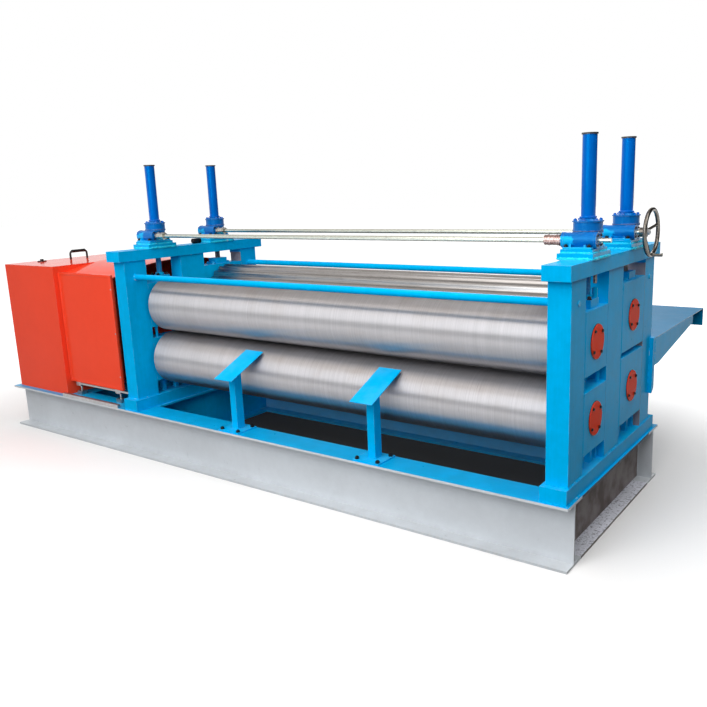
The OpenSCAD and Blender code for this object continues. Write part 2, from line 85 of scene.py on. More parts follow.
FRONT_Y, REAR_Y = mid("upper_front_bearing_covers", 1), mid("upper_rear_bearing_covers", 1)
UPPER_FRONT_Z, UPPER_REAR_Z = mid("upper_front_bearing_covers", 2), mid("upper_rear_bearing_covers", 2)
JOURNAL_R = 0.105
LOWER_FRONT_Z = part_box("lower_front_journals")[0].z + JOURNAL_R
LOWER_REAR_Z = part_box("lower_rear_journals")[0].z + JOURNAL_R
COVER_R = (upper_cover_hi.z - upper_cover_lo.z) / 2
BASE_TOP = base_hi.z
POST_Z = post_lo.z
TOP_Z = beam_hi.z
PAD_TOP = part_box("jack_pads")[1].z
END_WEB = 0.11  # from the base's end to the web of its end beam
CASE_DX = -0.018  # the jacks' worm cases stand this far off the posts' middle
CASE_HALF = house_hi.x - STAND_X["op"] - CASE_DX
SLEEVE_GAP = 0.008  # between a worm case and the sleeve coupling beside it
SLEEVE_LEN, SLEEVE_R = 0.096, 0.0275
SINK = 0.0005  # how far small parts are let into the face they sit on

# ---------- materials ----------


def srgb(r, g, b):
    """A linear colour from 0-255 display values."""
    def lin(v):
        v /= 255
        return v / 12.92 if v <= 0.04045 else ((v + 0.055) / 1.055) ** 2.4
    return (lin(r), lin(g), lin(b), 1)


def grey(v):
    return (v, v, v, 1)


class Nodes:
    """Short calls for the nodes used here, in one node tree."""

    def __init__(self, tree):
        self.tree = tree

    def node(self, kind, **props):
        n = self.tree.nodes.new(kind)
        for k, v in props.items():
            setattr(n, k, v)
        return n

    def link(self, a, b):
        self.tree.links.new(a, b)

    def feed(self, socket, v):
        """Sets a socket to a number or colour, or links an output to it."""
        if isinstance(v, (int, float, tuple)):
            socket.default_value = v
        else:
            self.link(v, socket)

    def math(self, op, a, *more):
        n = self.node("ShaderNodeMath", operation=op)
        for socket, v in zip(n.inputs, (a, *more)):
            self.feed(socket, v)
        return n.outputs[0]

    def dot(self, a, b):
        n = self.node("ShaderNodeVectorMath", operation="DOT_PRODUCT")
        self.feed(n.inputs[0], a)
        self.feed(n.inputs[1], b)
        return n.outputs["Value"]

    def span(self, v, lo, hi, to_lo, to_hi, kind="LINEAR"):
        """Maps v from lo...hi to to_lo...to_hi, and holds it there outside."""
        n = self.node("ShaderNodeMapRange", interpolation_type=kind)
        for i, value in enumerate((v, lo, hi, to_lo, to_hi)):
            self.feed(n.inputs[i], value)
        return n.outputs[0]

    def step(self, v, lo, hi):
        """0 below lo, 1 above hi, smooth between; falls where lo is above hi."""
        return self.span(v, min(lo, hi), max(lo, hi), int(lo > hi), int(lo <= hi), "SMOOTHSTEP")

    def axis(self, source, i):
        n = self.node("ShaderNodeSeparateXYZ")
        self.link(source, n.inputs[0])
        return n.outputs[i]

    def mix(self, fac, a, b):
        n = self.node("ShaderNodeMix", data_type="RGBA")
        for i, v in ((0, fac), (6, a), (7, b)):
            self.feed(n.inputs[i], v)
        return n.outputs[2]

    def ramp(self, v, first, last):
        """A colour ramp between two (position, colour) stops."""
        n = self.node("ShaderNodeValToRGB")
        for element, (position, colour) in zip(n.color_ramp.elements, (first, last)):
            element.position, element.color = position, colour
        self.link(v, n.inputs[0])
        return n.outputs[0]

    def shader(self, kind, **inputs):
        n = self.node(kind)
        for name, v in inputs.items():
            self.feed(n.inputs[name], v)
        return n.outputs[0]

    def blend(self, kind, *parts):
        """Adds two shaders, or mixes two by a factor that comes before them."""
        n = self.node(kind)
        for socket, v in zip(n.inputs, parts):
            self.link(v, socket)
        return n.outputs[0]

    def shown(self):
        """1 for the rays that see the pale studio: camera, glossy and transmission rays."""
        path = self.node("ShaderNodeLightPath").outputs
        rest = self.math("MAXIMUM", path["Is Transmission Ray"], path["Is Glossy Ray"])
        return self.math("MAXIMUM", path["Is Camera Ray"], rest)


class Mat(Nodes):
    """A node material on a Principled shader."""

    def __init__(self, name, rough, metallic=0.0, spec=0.5):
        self.mat = bpy.data.materials.new(name)
        self.mat.use_nodes = True
        super().__init__(self.mat.node_tree)
        self.inputs = self.tree.nodes["Principled BSDF"].inputs
        self.inputs["Roughness"].default_value = rough
        self.inputs["Metallic"].default_value = metallic
        self.inputs["Specular IOR Level"].default_value = spec
        self.pos = self.node("ShaderNodeTexCoord").outputs["Object"]
        self.normal = self.node("ShaderNodeNewGeometry").outputs["Normal"]

    def scaled(self, sx, sy, sz):
        n = self.node("ShaderNodeMapping")
        n.inputs["Scale"].default_value = (sx, sy, sz)
        self.link(self.pos, n.inputs["Vector"])
        return n.outputs[0]

    def noise(self, scale, detail, vector=None, rough=0.55, distort=0.0):
        n = self.node("ShaderNodeTexNoise")
        n.inputs["Scale"].default_value = scale
        n.inputs["Detail"].default_value = detail
        n.inputs["Roughness"].default_value = rough
        n.inputs["Distortion"].default_value = distort
        self.link(vector or self.pos, n.inputs["Vector"])
        return n.outputs["Fac"]

    def edge(self, radius):
        """1 along sharp edges, 0 on faces."""
        bevel = self.node("ShaderNodeBevel", samples=3)
        bevel.inputs["Radius"].default_value = radius
        return self.step(self.dot(bevel.outputs[0], self.normal), 0.995, 0.93)

    def bump(self, *layers):
        """Layers of (height, distance in metres, strength)."""
        last = None
        for height, distance, strength in layers:
            n = self.node("ShaderNodeBump")
            n.inputs["Distance"].default_value = distance
            n.inputs["Strength"].default_value = strength
            self.link(height, n.inputs["Height"])
            if last:
                self.link(last, n.inputs["Normal"])
            last = n.outputs[0]
        self.link(last, self.inputs["Normal"])

    def colour(self, out):
        self.link(out, self.inputs["Base Color"])

    def roughness(self, fac, lo, hi):
        self.link(self.span(fac, 0.0, 1.0, lo, hi), self.inputs["Roughness"])


def shade(rgb, k):
    """A linear colour made lighter or darker."""
    return tuple(min(1.0, c * k) for c in rgb[:3]) + (1,)


# what the gloss of a paint is tinted with
BLUE_TINT = (0.0, 0.55, 1.0, 1)
RED_TINT = (1.0, 0.25, 0.1, 1)
WHITE = grey(1.0)

FRAME_RGB = (0, 178, 240)
JACK_BRUSH_RGB = (4, 184, 244)
DUST_RGB = (176, 186, 190)
THREAD_PITCH = 0.008
RUB_COLOUR = grey(0.75)


def paint(name, rgb, rough, spec, dust, tint=BLUE_TINT, chips=0.6, streaks=0.2, vary=0.11, dust_and_sheen=None,
          extra=None, lumps=None):
    """Machine enamel: uneven film, faint brush streaks, dust on what faces up, a few chips, edges rubbed
    pale. The colour laid on the upward faces is grey dust, except on the red guard, where it is cream:
    a painted sheen on the guard's tops. extra(mat, colour) may lay other colours over the film; lumps
    is the (scale, detail, distance, strength) of a rough casting under the paint."""
    m = Mat(name, rough, spec=spec)
    m.inputs["Specular Tint"].default_value = tint
    base = srgb(*rgb)
    cloud = m.noise(1.7, 4)
    mottle = m.noise(16, 3, rough=0.6)
    streak = m.noise(1, 3, m.scaled(55, 55, 3.5))
    film = m.math("ADD", m.math("MULTIPLY", cloud, 0.72 - streaks), m.math("MULTIPLY", mottle, 0.28))
    film = m.math("ADD", film, m.math("MULTIPLY", streak, streaks))
    c = m.mix(m.step(film, 0.3, 0.7), shade(base, 1 - vary), shade(base, 1 + vary))
    up = m.axis(m.normal, 2)
    # upward faces get the dust colour; the red guard's cream one there is a painted sheen
    dust_and_sheen_mask = m.math("MULTIPLY", m.step(up, 0.5, 1.0), m.step(m.noise(7, 5), 0.35, 0.75))
    c = m.mix(m.math("MULTIPLY", dust_and_sheen_mask, dust), c, dust_and_sheen or srgb(*DUST_RGB))
    chip = m.step(m.noise(42, 6, rough=0.75), 0.735, 0.75)
    c = m.mix(m.math("MULTIPLY", chip, chips), c, shade(base, 0.45))
    if extra:
        c = extra(m, c)
    rub = m.math("MULTIPLY", m.edge(0.004), m.step(m.noise(14, 5, rough=0.7), 0.42, 0.62))
    c = m.mix(m.math("MULTIPLY", rub, 0.55), c, m.mix(0.45, c, RUB_COLOUR))
    m.colour(c)
    m.roughness(mottle, rough - 0.07, rough + 0.09)
    rough_cast = [(m.noise(*lumps[:2]), *lumps[2:])] if lumps else []
    m.bump((m.noise(160, 2), 0.0006, 0.25), (m.noise(11, 3), 0.004, 0.14),
           (streak, 0.0006, streaks * 0.6), *rough_cast)
    return m.mat


def metal(name, rgb, rough, lines, line_amount):
    """Bare metal with tool marks and stains; lines is the scale of the marks."""
    m = Mat(name, rough, metallic=1.0)
    base = srgb(*rgb)
    marks = m.noise(1, 4, m.scaled(lines, lines, lines), rough=0.7)
    cloud = m.noise(5, 4)
    c = m.mix(m.step(marks, 0.3, 0.7), shade(base, 1 - line_amount), shade(base, 1 + line_amount))
    c = m.mix(m.math("MULTIPLY", m.step(cloud, 0.35, 0.75), 0.3), c, shade(base, 0.72))
    m.colour(c)
    m.roughness(marks, rough - 0.06, rough + 0.1)
    m.bump((marks, 0.0005, 0.3), (cloud, 0.002, 0.08))
    return m.mat


def roll_steel(name):
    """A turned and ground barrel: fine rings round it, broken arcs of handling marks, faint bands."""
    m = Mat(name, 0.47, metallic=0.86)
    m.inputs["Anisotropic"].default_value = 0.95
    m.inputs["Anisotropic Rotation"].default_value = 0.25
    m.link(m.node("ShaderNodeTangent", direction_type="RADIAL", axis="X").outputs[0], m.inputs["Tangent"])
    base = srgb(174, 173, 176)
    rings = m.noise(1, 3, m.scaled(420, 1.2, 1.2), rough=0.7)
    bands = m.noise(1, 2, m.scaled(9, 0.6, 0.6))
    arcs = m.noise(1, 4, m.scaled(150, 7, 7), rough=0.62, distort=0.35)
    cloud = m.noise(4, 4)
    c = m.mix(m.step(rings, 0.3, 0.7), shade(base, 0.86), shade(base, 1.12))
    c = m.mix(m.math("MULTIPLY", m.step(bands, 0.4, 0.7), 0.22), c, shade(base, 0.8))
    c = m.mix(m.math("MULTIPLY", m.step(arcs, 0.66, 0.73), 0.4), c, srgb(96, 90, 86))
    c = m.mix(m.math("MULTIPLY", m.step(cloud, 0.5, 0.8), 0.25), c, srgb(150, 140, 130))
    m.colour(c)
    m.roughness(rings, 0.41, 0.53)
    m.bump((rings, 0.0002, 0.3), (arcs, 0.0003, 0.2))
    return m.mat


def fluted_steel(name):
    """Ground flutes with lengthwise stone marks and small worn pale spots."""
    m = Mat(name, 0.3, metallic=1.0)
    base = srgb(168, 168, 169)
    marks = m.noise(1, 4, m.scaled(3, 160, 160), rough=0.65)
    cloud = m.noise(3, 4)
    spots = m.step(m.noise(55, 5, rough=0.7), 0.72, 0.74)
    c = m.mix(m.step(marks, 0.3, 0.7), shade(base, 0.85), shade(base, 1.1))
    c = m.mix(m.math("MULTIPLY", m.step(cloud, 0.45, 0.75), 0.3), c, srgb(120, 116, 112))
    c = m.mix(m.math("MULTIPLY", spots, 0.5), c, srgb(205, 200, 190))
    m.colour(c)
    m.roughness(marks, 0.22, 0.34)
    m.bump((marks, 0.0003, 0.12))
    return m.mat


def on_top(m, z, up):
    """1 on the upward faces at the top of the base."""
    return m.math("MULTIPLY", m.step(z, BASE_TOP - 0.004, BASE_TOP - 0.001), m.step(up, 0.4, 0.6))


def grey_beam(name, inner):
    """Pale grey base paint, with the frame's blue on the top flange and on the side towards the pit;
    inner is which of the two long beams it is for."""
    y_web = mid(f"base_{inner}_beam", 1)

    def over(m, c):
        z, y, x, up = m.axis(m.pos, 2), m.axis(m.pos, 1), m.axis(m.pos, 0), m.axis(m.normal, 2)
        top = on_top(m, z, up)
        edge = 0.007 if inner == "front" else -0.007
        side = m.step(y, y_web + 0.5 * edge, y_web + edge)
        within = m.math("LESS_THAN", m.math("ABSOLUTE", x), base_hi.x - END_WEB - 0.004)
        side = m.math("MULTIPLY", side, within)
        blue = m.mix(m.step(m.noise(6, 4), 0.3, 0.7), shade(srgb(*FRAME_RGB), 0.86), srgb(*FRAME_RGB))
        c = m.mix(m.math("MAXIMUM", top, side), c, blue)
        splash = m.step(m.math("ADD", z, m.math("MULTIPLY", m.noise(9, 4), 0.12)), 0.12, 0.02)
        return m.mix(m.math("MULTIPLY", splash, 0.22), c, srgb(138, 134, 128))

    return paint(name, (206, 212, 218), rough=0.3, spec=0.35, tint=WHITE, dust=0.1, chips=0.2,
                 streaks=0.02, vary=0.06, extra=over)


def end_beam(name):
    """Base end beams: brown with rust bloom on the webs, pale and speckled on the bottom flange."""
    outer = base_hi.x - END_WEB

    def over(m, c):
        z, x, up = m.axis(m.pos, 2), m.axis(m.pos, 0), m.axis(m.normal, 2)
        side = m.math("ABSOLUTE", m.axis(m.normal, 0))
        web = m.math("MULTIPLY", m.step(side, 0.5, 0.8), m.step(z, BASE_TOP - 0.02, BASE_TOP - 0.03))
        bloom = m.mix(m.step(m.noise(5, 5), 0.35, 0.65), srgb(104, 92, 88), srgb(156, 148, 146))
        fleck = m.step(m.noise(58, 5, rough=0.8), 0.69, 0.72)
        bloom = m.mix(m.math("MULTIPLY", fleck, 0.6), bloom, srgb(196, 190, 184))
        c = m.mix(web, c, bloom)
        rim = m.math("MULTIPLY", m.step(side, 0.5, 0.8), m.step(z, BASE_TOP - 0.021, BASE_TOP - 0.018))
        c = m.mix(rim, c, srgb(70, 84, 96))
        speck = m.step(m.noise(52, 4, rough=0.75), 0.53, 0.6)
        low = m.math("MULTIPLY", m.step(up, 0.5, 0.9), m.step(z, 0.1, 0.05))
        c = m.mix(m.math("MULTIPLY", low, m.math("MULTIPLY", speck, 0.7)), c, srgb(104, 102, 116))
        top = on_top(m, z, up)
        inside = m.math("LESS_THAN", m.math("ABSOLUTE", x), outer - 0.003)
        return m.mix(m.math("MAXIMUM", top, inside), c, srgb(*FRAME_RGB))

    return paint(name, (228, 230, 240), rough=0.4, spec=0.05, tint=WHITE, dust=0.15, chips=0.3,
                 streaks=0.1, extra=over)


def post_paint(name):
    """Frame blue, with the rear window's sliding face painted grey below the top beam's shadow line,
    between the chock and the beam: painted shade.
    """
    face_y = post_hi.y - 0.2  # the rear post's face in the window
    beam_shadow_z = 1.642  # the beam's shadow line above the rear chocks

    def over(m, c):
        z, y, ny = m.axis(m.pos, 2), m.axis(m.pos, 1), m.axis(m.normal, 1)
        here = m.math("LESS_THAN", m.math("ABSOLUTE", m.math("SUBTRACT", y, face_y)), 0.002)
        # painted shade: the rear window's face is grey below the beam's shadow line
        beam_shadow_mask = m.math("MULTIPLY", here, m.step(z, beam_shadow_z, beam_shadow_z - 0.006))
        beam_shadow_mask = m.math("MULTIPLY", beam_shadow_mask, m.step(ny, -0.4, -0.6))
        grey = m.mix(m.noise(30, 4), srgb(120, 112, 118), srgb(176, 166, 170))
        return m.mix(beam_shadow_mask, c, grey)

    return paint(name, FRAME_RGB, rough=0.3, spec=0.025, dust=0.08, extra=over)


def worm_paint(name):
    """Jack blue; the pads' lighter paint is brushed up over the foot and the near end of each housing."""
    top = PAD_TOP
    ends_x = [x + CASE_DX - 0.075 for x in STAND_X.values()]

    def over(m, c):
        x, z = m.axis(m.pos, 0), m.axis(m.pos, 2)
        stroke = m.math("MULTIPLY", m.noise(13, 4, rough=0.6), 0.09)
        low = m.step(m.math("ADD", z, stroke), top + 0.07, top + 0.05)
        near = m.math("MINIMUM", *(m.math("ABSOLUTE", m.math("SUBTRACT", x, end)) for end in ends_x))
        ragged = m.math("MULTIPLY", m.noise(6, 5, rough=0.7), 0.2)
        left = m.step(m.math("ADD", near, ragged), 0.165, 0.145)
        left = m.math("MULTIPLY", left, m.step(m.math("ADD", z, stroke), top + 0.12, top + 0.105))
        return m.mix(m.math("MULTIPLY", m.math("MAXIMUM", low, left), 0.9), c, srgb(*JACK_BRUSH_RGB))

    return paint(name, (0, 104, 184), rough=0.18, spec=0.5, tint=(0.1, 0.6, 1.0, 1), dust=0.04, chips=0.4,
                 extra=over, lumps=(46, 3, 0.005, 0.55))


def screw_steel(name, painted):
    """A lifting screw with its thread: oiled steel, or blue where the paint brush reached it. The thread's
    grooves are painted darker and its crests lighter: painted shade and painted highlight.
    """
    m = Mat(name, 0.34, metallic=0.0 if painted else 1.0, spec=0.3)
    ridge = m.math("SINE", m.math("MULTIPLY", m.axis(m.pos, 2), 2 * math.pi / THREAD_PITCH))
    dark, light = ((0, 112, 170), (0, 160, 224)) if painted else ((52, 48, 46), (150, 146, 142))
    # painted shade in the thread's grooves and painted highlight on its crests
    c = m.mix(m.step(ridge, -0.4, 0.6), srgb(*dark), srgb(*light))
    c = m.mix(m.math("MULTIPLY", m.step(m.noise(24, 4), 0.45, 0.7), 0.5), c, srgb(*dark))
    m.colour(c)
    m.roughness(m.noise(60, 3), 0.25, 0.45)
    m.bump((ridge, 0.0012, 0.7))
    return m.mat


def shaft_steel(name):
    """Bright drawn bar; the sleeve couplings show rings from turning, rusty on the operator's side."""
    m = Mat(name, 0.24, metallic=1.0)
    base = srgb(206, 212, 202)
    marks = m.noise(1, 4, m.scaled(40, 200, 200), rough=0.7)
    c = m.mix(m.step(marks, 0.3, 0.7), shade(base, 0.86), shade(base, 1.12))
    c = m.mix(m.math("MULTIPLY", m.step(m.noise(5, 4), 0.35, 0.75), 0.3), c, shade(base, 0.7))
    x = m.axis(m.pos, 0)
    sleeves = {"op": ((118, 84, 80), (206, 188, 184)), "dr": ((150, 146, 138), (226, 224, 214))}
    for end, (dark, pale) in sleeves.items():
        centre = STAND_X[end] + CASE_DX - OUT[end] * (CASE_HALF + SLEEVE_GAP + SLEEVE_LEN / 2)
        off = m.math("ABSOLUTE", m.math("SUBTRACT", x, centre))
        on = m.step(off, SLEEVE_LEN / 2 + 0.003, SLEEVE_LEN / 2 + 0.001)
        rings = m.noise(1, 4, m.scaled(260, 30, 30), rough=0.7)
        c = m.mix(on, c, m.mix(m.step(rings, 0.4, 0.62), srgb(*dark), srgb(*pale)))
    m.colour(c)
    m.roughness(marks, 0.2, 0.36)
    m.bump((marks, 0.0005, 0.3))
    return m.mat


def weld_paint(name, rgb):
    """Paint over a weld bead: darker and lighter patches at random, and pale flecks that are painted
    highlights on the bead.
    """
    m = Mat(name, 0.34, spec=0.3)
    m.inputs["Specular Tint"].default_value = BLUE_TINT
    base = srgb(*rgb)
    patch = m.noise(38, 4, rough=0.65)
    c = m.mix(m.step(patch, 0.35, 0.65), shade(base, 0.78), shade(base, 1.12))
    # pale flecks: painted highlights on the bead
    c = m.mix(m.math("MULTIPLY", m.step(m.noise(21, 4), 0.6, 0.68), 0.6), c, srgb(170, 214, 226))
    m.colour(c)
    m.roughness(patch, 0.25, 0.45)
    m.bump((m.noise(230, 3), 0.0012, 0.5))
    return m.mat


MATS = {
    "frame": paint("frame_enamel", FRAME_RGB, rough=0.3, spec=0.025, dust=0.08),
    "post": post_paint("post_enamel"),
    "pad": paint("pad_enamel", (0, 172, 226), rough=0.2, spec=0.2, dust=0.03, chips=0.3,
                 lumps=(34, 3, 0.006, 0.5)),
    "jack": worm_paint("jack_enamel"),
    "tube": paint("tube_enamel", (0, 98, 194), rough=0.14, spec=0.5, tint=(0.0, 0.5, 1.0, 1), dust=0.03,
                  chips=0.3, streaks=0.05),
    "front_beam": grey_beam("front_beam_paint", "front"),
    "rear_beam": grey_beam("rear_beam_paint", "rear"),
    "end_beam": end_beam("end_beam_paint"),
    # the cream colour on the guard's upward faces is a painted sheen
    "guard": paint("guard_enamel", (254, 77, 48), rough=0.1, spec=0.05, tint=RED_TINT, dust=0.05,
                   chips=0.1, streaks=0.03, vary=0.04, dust_and_sheen=srgb(220, 190, 180)),
    "cover": paint("cover_enamel", (255, 60, 12), rough=0.34, spec=0.015, tint=RED_TINT, dust=0.04,
                   chips=0.4),
    "tray": paint("tray_enamel", (0, 132, 184), rough=0.17, spec=0.1, dust=0.04, chips=0.3, streaks=0.05,
                  vary=0.07),
    "roll": roll_steel("ground_roll_steel"),
    "fluted": fluted_steel("fluted_roll_steel"),
    "shaft": shaft_steel("shaft_steel"),
    "screw": screw_steel("dark_screw_steel", False),
    "blue_screw": screw_steel("painted_screw", True),
    "wheel": metal("handwheel_steel", (112, 108, 102), 0.26, 80, 0.18),
    "zinc": metal("zinc_plate", (176, 178, 180), 0.42, 28, 0.14),
    "black": paint("black_plastic", (20, 20, 22), rough=0.42, spec=0.5, tint=WHITE, dust=0.1, chips=0.2,
                   dust_and_sheen=srgb(70, 70, 72)),
    "weld": weld_paint("frame_weld", FRAME_RGB),
    "pad_weld": weld_paint("pad_weld", (40, 214, 252)),
    "sealant": paint("sealant", (96, 70, 84), rough=0.5, spec=0.3, dust=0.05, chips=0.2),
    "bolt": metal("black_oxide_bolt", (46, 45, 46), 0.4, 120, 0.2),
}

# nodes with a material of their own; the rest take the one of their slot
NODE_MATS = {
    "base_front_beam": "front_beam", "base_rear_beam": "rear_beam", "base_end_beams": "end_beam",
    "operator_posts": "post", "drive_posts": "post",
    "lower_rear_roll": "fluted", "upper_rear_roll": "fluted",
    "screw_tubes": "tube", "outfeed_tray": "tray", "front_lifting_screws": "blue_screw",
}
SLOT_MATS = {
    "frame_blue": "frame", "pad_blue": "pad", "jack_blue": "jack", "beam_grey": "front_beam",
    "guard_red": "guard", "cover_red": "cover", "roll_steel": "roll", "shaft_steel": "shaft",
    "screw_steel": "screw", "handwheel_steel": "wheel", "cap_black": "black", "zinc_steel": "zinc",
}
slot_of = {s["node"]: s["material_slot"] for s in frame["record"]["subparts"]}
for name, ob in nodes.items():
    mat = MATS[NODE_MATS.get(name) or SLOT_MATS[slot_of[name]]]
    for slot in ob.material_slots:
        slot.material = mat

# ---------- mesh tools ----------

WASHER = 0.0025
BEAD_SIDES = 7
SMOOTH_BELOW = math.radians(35)


def frame_at(p, z_dir):
    """A matrix at p whose Z axis points along z_dir."""
    return Matrix.Translation(p) @ Vector(z_dir).to_track_quat("Z", "Y").to_matrix().to_4x4()


def circle(r, count, z=0.0, first=0.0):
    """Points round the Z axis; first is the angle of the first, in degrees."""
    angles = (math.radians(first) + 2 * math.pi * i / count for i in range(count))
    return [Vector((r * math.cos(a), r * math.sin(a), z)) for a in angles]


def lathe(bm, profile, m, seg):
    """Turns a profile of (radius, height) about the Z axis of m."""
    rings = []
    for r, z in profile:
        points = circle(r, seg, z) if r > 1e-6 else [Vector((0, 0, z))]
        rings.append([bm.verts.new(m @ p) for p in points])
    for a, b in zip(rings, rings[1:]):
        for i in range(seg):
            j = (i + 1) % seg
            quad = [a[i % len(a)], a[j % len(a)], b[j % len(b)], b[i % len(b)]]
            quad = [v for k, v in enumerate(quad) if v not in quad[:k]]
            if len(quad) > 2:
                bm.faces.new(quad)


def skin(bm, rings):
    """Joins rings of as many vertices each, and closes both ends."""
    for p, q in zip(rings, rings[1:]):
        for i in range(len(p)):
            j = (i + 1) % len(p)
            bm.faces.new((p[i], p[j], q[j], q[i]))
    bm.faces.new(rings[0][::-1])
    bm.faces.new(rings[-1])


def hex_bolt(bm, p, d, direction, flat, head):
    """Hexagon head on a washer, with its stud's end; flat is the width over the flats."""
    m = frame_at(p, direction)
    wash, r, top = flat * 0.62, flat / math.sqrt(3), WASHER + head
    lathe(bm, [(0, 0), (wash, 0), (wash, 0.0018), (wash - 0.0008, WASHER), (0, WASHER)], m, 24)
    turn = m @ Matrix.Rotation(rng.uniform(0, math.pi / 3), 4, "Z")
    lathe(bm, [(r, WASHER), (r, WASHER + head * 0.85), (r * 0.86, top), (0, top)], turn, 6)
    lathe(bm, [(d / 2, WASHER + head * 0.9), (d / 2, 0.004 + head * 1.15), (0, 0.004 + head * 1.2)], m, 16)


def socket_bolt(bm, p, d, direction, head):
    """Socket head cap screw with its hexagon recess."""
    m = frame_at(p, direction)
    r, key = d * 0.78, d * 0.45
    lathe(bm, [(r, 0), (r, head * 0.86), (r * 0.9, head), (key * 1.12, head)], m, 24)
    lathe(bm, [(key * 1.12, head), (key, head), (key, head * 0.4), (0, head * 0.35)], m, 6)


def pan_screw(bm, p, direction):
    lathe(bm, [(0.0065, 0), (0.006, 0.0018), (0.003, 0.0028), (0, 0.003)], frame_at(p, direction), 18)


def bead(bm, a, b, r):
    """A weld bead from a to b: a knobbly rope with overlapping ripples."""
    a, b = Vector(a), Vector(b)
    steps = max(4, int((b - a).length / (r * 0.75)))
    m = (b - a).to_track_quat("Z", "Y").to_matrix()
    rings = []
    for i in range(steps + 1):
        t = i / steps  # 0 to 1 along the bead
        ripple = 1 + 0.16 * math.sin(i * 2.1) + rng.uniform(-0.14, 0.14)
        end = min(1.0, 0.35 + 6 * min(t, 1 - t))
        off = Vector((rng.uniform(-0.1, 0.1) * r, rng.uniform(-0.1, 0.1) * r, 0))
        c = a.lerp(b, t) + m @ off
        rings.append([bm.verts.new(c + m @ p) for p in circle(r * ripple * end, BEAD_SIDES)])
    skin(bm, rings)


def block(bm, lo, hi, bevel):
    """A box with bevelled edges."""
    made = bmesh.ops.create_cube(bm, size=1.0)["verts"]
    for v in made:
        v.co = Vector((a + b) / 2 + c * (b - a) for a, b, c in zip(lo, hi, v.co))
    edges = list({e for v in made for e in v.link_edges})
    bmesh.ops.bevel(bm, geom=edges, offset=bevel, segments=2, profile=0.6, affect="EDGES")


def object_from(bm, name, mat):
    """Puts a finished bmesh in the scene as an object."""
    mesh = bpy.data.meshes.new(name)
    bm.to_mesh(mesh)
    bm.free()
    mesh.materials.append(mat)
    ob = bpy.data.objects.new(name, mesh)
    bpy.context.scene.collection.objects.link(ob)
    return ob


def piece(name, body, mat, build):
    """Makes one object from build(bm), gives it its material and lets it ride on a body."""
    bm = bmesh.new()
    build(bm)
    bmesh.ops.recalc_face_normals(bm, faces=bm.faces)
    ob = object_from(bm, name, MATS[mat])
    ob.data.shade_smooth()
    ob.data.set_sharp_from_angle(angle=SMOOTH_BELOW)
    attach(ob, body)


# ---------- bearing covers ----------

COVER_ANGLES = (38, 128, 218, 308)
COVER_BOLT_R = 0.086


def cover_bolts(y, z):
    def build(bm):
        for end in STAND_X:
            x = COVER_X[end] - OUT[end] * SINK
            for a in map(math.radians, COVER_ANGLES):
                p = (x, y + COVER_BOLT_R * math.cos(a), z + COVER_BOLT_R * math.sin(a))
                socket_bolt(bm, p, 0.012, (OUT[end], 0, 0), 0.009)
    return build


def cover_rim_shading(y, z):
    """A black ring round the cover's edge: a painted dark reflection standing in for the look of its bare
    steel rim.
    """
    r = COVER_R

    def build(bm):
        for end in STAND_X:
            m = frame_at((COVER_X[end] - OUT[end] * 0.008, y, z), (OUT[end], 0, 0))
            lathe(bm, [(r - 0.002, 0), (r + 0.0035, 0), (r + 0.0035, 0.0016), (r + 0.001, 0.003),
                       (r - 0.002, 0.003)], m, 64)
    return build


for part, body, y, z in (
    ("upper_front", "front_lift", FRONT_Y, UPPER_FRONT_Z),
    ("upper_rear", "rear_lift", REAR_Y, UPPER_REAR_Z),
    ("lower_front", "machine_frame", FRONT_Y, LOWER_FRONT_Z),
    ("lower_rear", "machine_frame", REAR_Y, LOWER_REAR_Z),
):
    piece(f"{part}_cover_bolts", body, "bolt", cover_bolts(y, z))
    # black rings round the covers: painted dark reflection on their steel rims
    piece(f"{part}_cover_dark_rim_rings", body, "black", cover_rim_shading(y, z))

# ---------- screw jacks ----------

tube_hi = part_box("screw_tubes")[1]
cap_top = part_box("screw_tube_caps")[1].z
WORM_Z = mid("front_connecting_shaft", 2)
WORM_DY = mid("front_connecting_shaft", 1) - FRONT_Y
FLANGE_Z = house_hi.z - 0.014
FOOT_T = 0.012
JACKS = [(x, y) for x in STAND_X.values() for y in (FRONT_Y, REAR_Y)]


def ring_of(centre, axis, radius, count, first):
    """Places round a circle; first is the angle of the first, in degrees."""
    m = frame_at(centre, axis)
    return [m @ p for p in circle(radius, count, first=first)]


def jack_top_bolts(bm):
    for x, y in JACKS:
        for p in ring_of((x, y, FLANGE_Z), UP, 0.072, 6, 30):
            hex_bolt(bm, p, 0.010, UP, 0.017, 0.008)


def worm_end_bolts(bm):
    for x, y in JACKS:
        for side in (1, -1):
            face = (x + CASE_DX + side * CASE_HALF, y + WORM_DY, WORM_Z)
            for p in ring_of(face, (side, 0, 0), 0.0385, 4, 45):
                hex_bolt(bm, p, 0.006, (side, 0, 0), 0.0105, 0.005)


def jack_gaskets(bm):
    """The sealant line where the cover sits on each case, and the joints of the worm end covers."""
    for x, y in JACKS:
        lathe(bm, [(0.080, 0), (0.0868, 0.0002), (0.0872, 0.0014), (0.0868, 0.0026), (0.080, 0.0028)],
              frame_at((x, y, WORM_Z + 0.0475), UP), 56)
        for side in (1, -1):
            joint = (x + CASE_DX + side * (CASE_HALF - 0.0155), y + WORM_DY, WORM_Z)
            lathe(bm, [(0.040, 0), (0.0462, 0), (0.0466, 0.0008), (0.0462, 0.0016), (0.040, 0.0016)],
                  frame_at(joint, (side, 0, 0)), 40)


def jack_feet(bm):
    """Rectangular cast feet with two ribs under the round cases."""
    for x, y in JACKS:
        cx = x + CASE_DX
        block(bm, (cx - 0.084, y - 0.125, PAD_TOP - 0.001), (cx + 0.084, y + 0.1, PAD_TOP + FOOT_T), 0.003)
        for x0 in (cx - 0.05, cx + 0.038):
            block(bm, (x0, y - 0.116, PAD_TOP + 0.006), (x0 + 0.012, y - 0.07, PAD_TOP + 0.026), 0.002)


